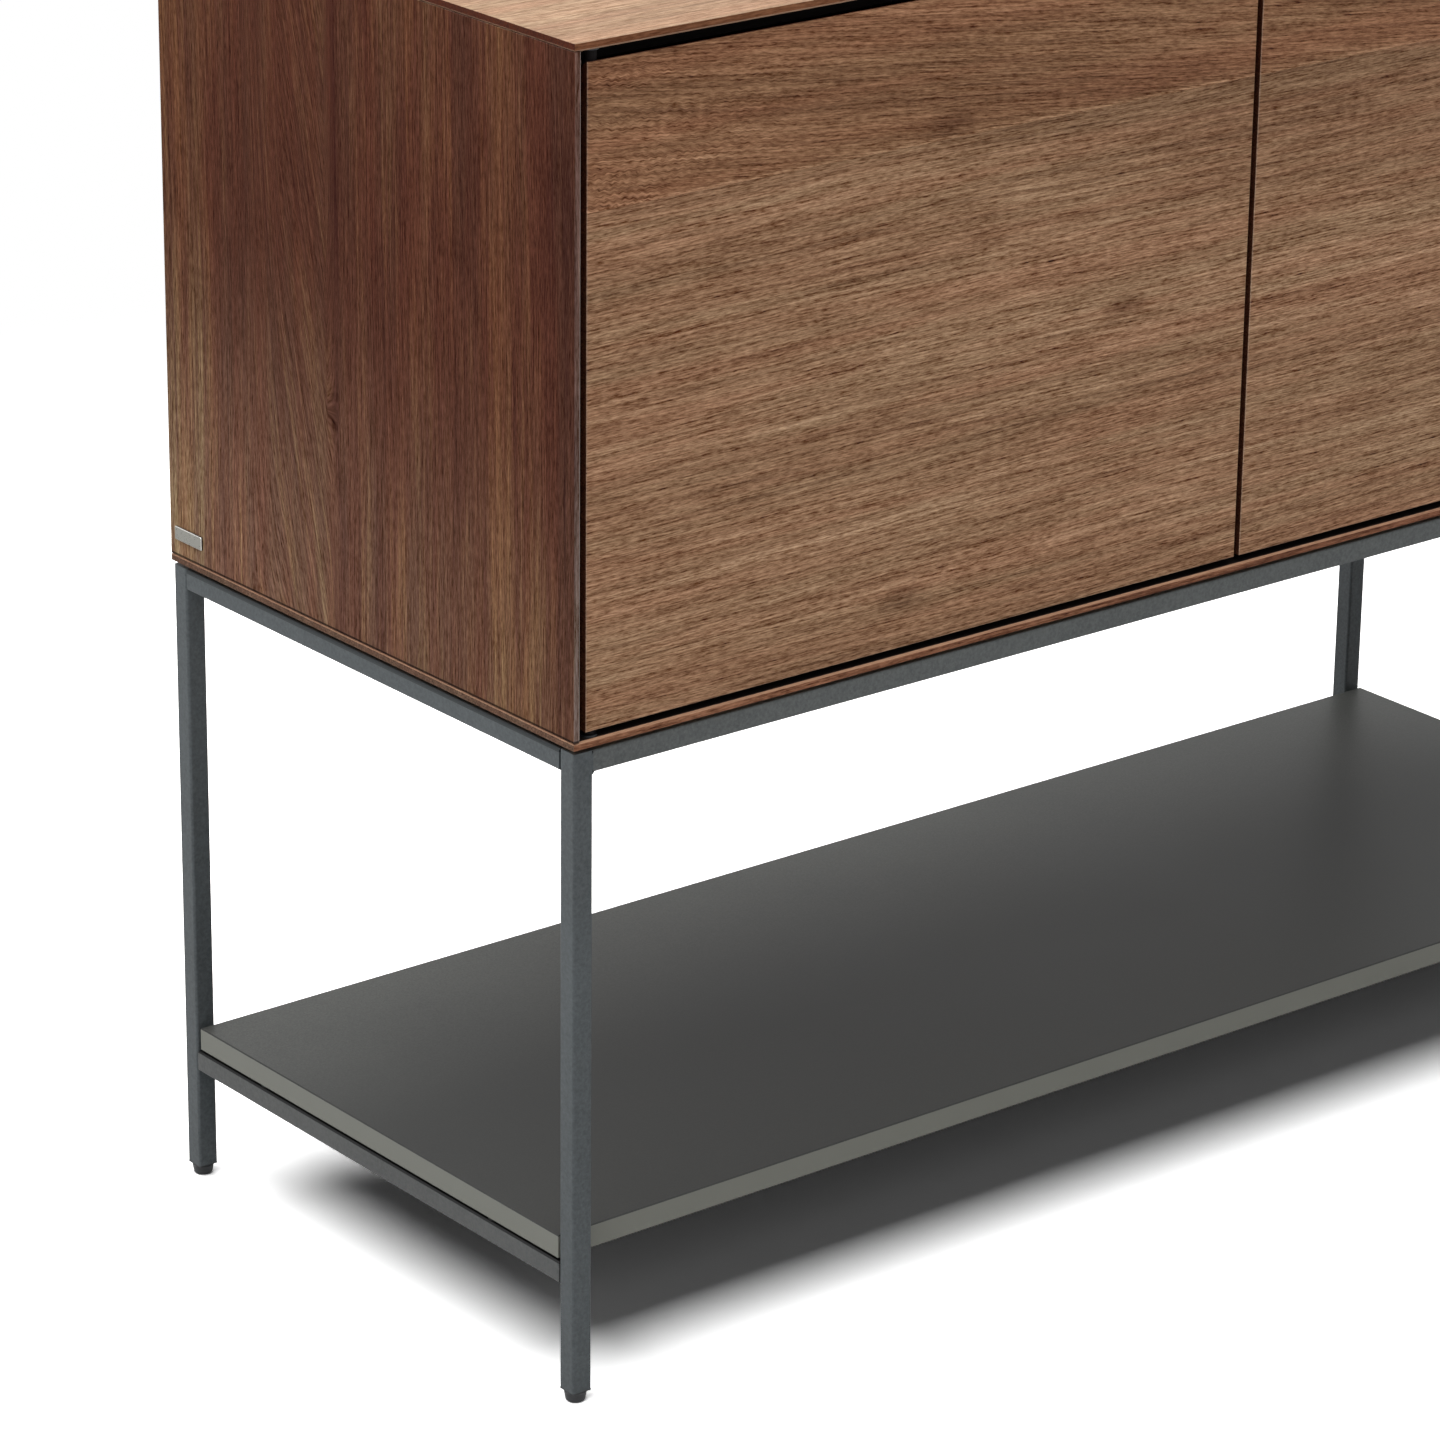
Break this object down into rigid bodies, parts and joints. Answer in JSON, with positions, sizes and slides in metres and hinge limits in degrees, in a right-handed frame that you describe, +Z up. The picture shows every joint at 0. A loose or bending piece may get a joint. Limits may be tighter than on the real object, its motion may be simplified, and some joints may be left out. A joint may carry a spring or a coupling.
{
  "type": "credenza",
  "caption": "Low two-door office credenza: a walnut-veneered case with thin rebated edges on a square-tube steel frame with an open lower shelf and levelling feet.",
  "frame": {"origin": "on the floor, under the middle of the case's outline", "axes": "+X along the length, to the right of someone facing the doors; the doors face -Y; +Z up"},
  "size_m": [1.2015, 0.48, 0.966],
  "materials": {
    "walnut_veneer": "satin open-pore lacquer over walnut veneer",
    "back_board": "satin lacquer over walnut veneer, plainer figure",
    "shelf_lacquer": "satin charcoal grey lacquer",
    "frame_powder_coat": "fine satin charcoal powder coat",
    "zinc_hardware": "bright zinc plate",
    "nickel_plate": "satin nickel plate",
    "beech_dowel": "plain turned beech",
    "black_nylon": "moulded satin black nylon",
    "rubber_pad": "matt black rubber",
    "black_steel": "blackened turned steel, lightly oiled",
    "spring_steel": "oiled spring steel"
  },
  "bodies": {
    "cabinet": {"top_panel": "walnut_veneer", "bottom_panel": "walnut_veneer", "left_side_panel": "walnut_veneer", "right_side_panel": "walnut_veneer", "centre_partition": "walnut_veneer", "left_inner_shelf": "walnut_veneer", "right_inner_shelf": "walnut_veneer", "back_panel": "back_board", "lower_shelf": "shelf_lacquer", "front_left_leg": "frame_powder_coat", "front_right_leg": "frame_powder_coat", "back_left_leg": "frame_powder_coat", "back_right_leg": "frame_powder_coat", "front_top_rail": "frame_powder_coat", "back_top_rail": "frame_powder_coat", "left_top_rail": "frame_powder_coat", "right_top_rail": "frame_powder_coat", "left_bottom_rail": "frame_powder_coat", "right_bottom_rail": "frame_powder_coat", "rail_spigots": "frame_powder_coat", "rail_weld_beads": "frame_powder_coat", "leg_top_caps": "frame_powder_coat", "rail_tabs": "frame_powder_coat", "cam_locks": "zinc_hardware", "cam_bolts": "zinc_hardware", "rail_set_screws": "zinc_hardware", "case_screws": "zinc_hardware", "lower_shelf_screws": "zinc_hardware", "latch_screws": "zinc_hardware", "shelf_pins": "nickel_plate", "side_plate": "nickel_plate", "panel_dowels": "beech_dowel", "door_pivot_bushes": "black_nylon", "left_latch_housing": "black_nylon", "right_latch_housing": "black_nylon", "leg_nut_inserts": "black_nylon", "shelf_pads": "rubber_pad", "left_latch_spring": "spring_steel", "right_latch_spring": "spring_steel"},
    "left_door": {"left_door": "walnut_veneer", "left_pivot_pins": "black_steel", "left_strike_plate": "nickel_plate"},
    "right_door": {"right_door": "walnut_veneer", "right_pivot_pins": "black_steel", "right_strike_plate": "nickel_plate"},
    "left_plunger": {"left_latch_plunger": "black_nylon"},
    "right_plunger": {"right_latch_plunger": "black_nylon"},
    "front_left_foot": {"front_left_foot": "black_nylon", "front_left_foot_stem": "zinc_hardware"},
    "back_left_foot": {"back_left_foot": "black_nylon", "back_left_foot_stem": "zinc_hardware"},
    "front_right_foot": {"front_right_foot": "black_nylon", "front_right_foot_stem": "zinc_hardware"},
    "back_right_foot": {"back_right_foot": "black_nylon", "back_right_foot_stem": "zinc_hardware"}
  },
  "joints": [
    {"name": "left_door_hinge", "type": "hinge", "parent": "cabinet", "child": "left_door", "pos_m": [-0.5822, -0.232, 0.7247], "axis": [0, 0, -1], "range_deg": [0, 105]},
    {"name": "right_door_hinge", "type": "hinge", "parent": "cabinet", "child": "right_door", "pos_m": [0.5822, -0.232, 0.7247], "axis": [0, 0, 1], "range_deg": [0, 105]},
    {"name": "left_plunger_slide", "type": "slide", "parent": "cabinet", "child": "left_plunger", "axis": [0, 1, 0], "range_m": [0, 0.003], "stiffness_N_per_m": 400, "springref_m": -0.01, "deforming": ["left_latch_spring"]},
    {"name": "right_plunger_slide", "type": "slide", "parent": "cabinet", "child": "right_plunger", "axis": [0, 1, 0], "range_m": [0, 0.003], "stiffness_N_per_m": 400, "springref_m": -0.01, "deforming": ["right_latch_spring"]},
    {"name": "front_left_foot_adjust", "type": "slide", "parent": "cabinet", "child": "front_left_foot", "axis": [0, 0, -1], "range_m": [0, 0.008]},
    {"name": "back_left_foot_adjust", "type": "slide", "parent": "cabinet", "child": "back_left_foot", "axis": [0, 0, -1], "range_m": [0, 0.008]},
    {"name": "front_right_foot_adjust", "type": "slide", "parent": "cabinet", "child": "front_right_foot", "axis": [0, 0, -1], "range_m": [0, 0.008]},
    {"name": "back_right_foot_adjust", "type": "slide", "parent": "cabinet", "child": "back_right_foot", "axis": [0, 0, -1], "range_m": [0, 0.008]}
  ]
}
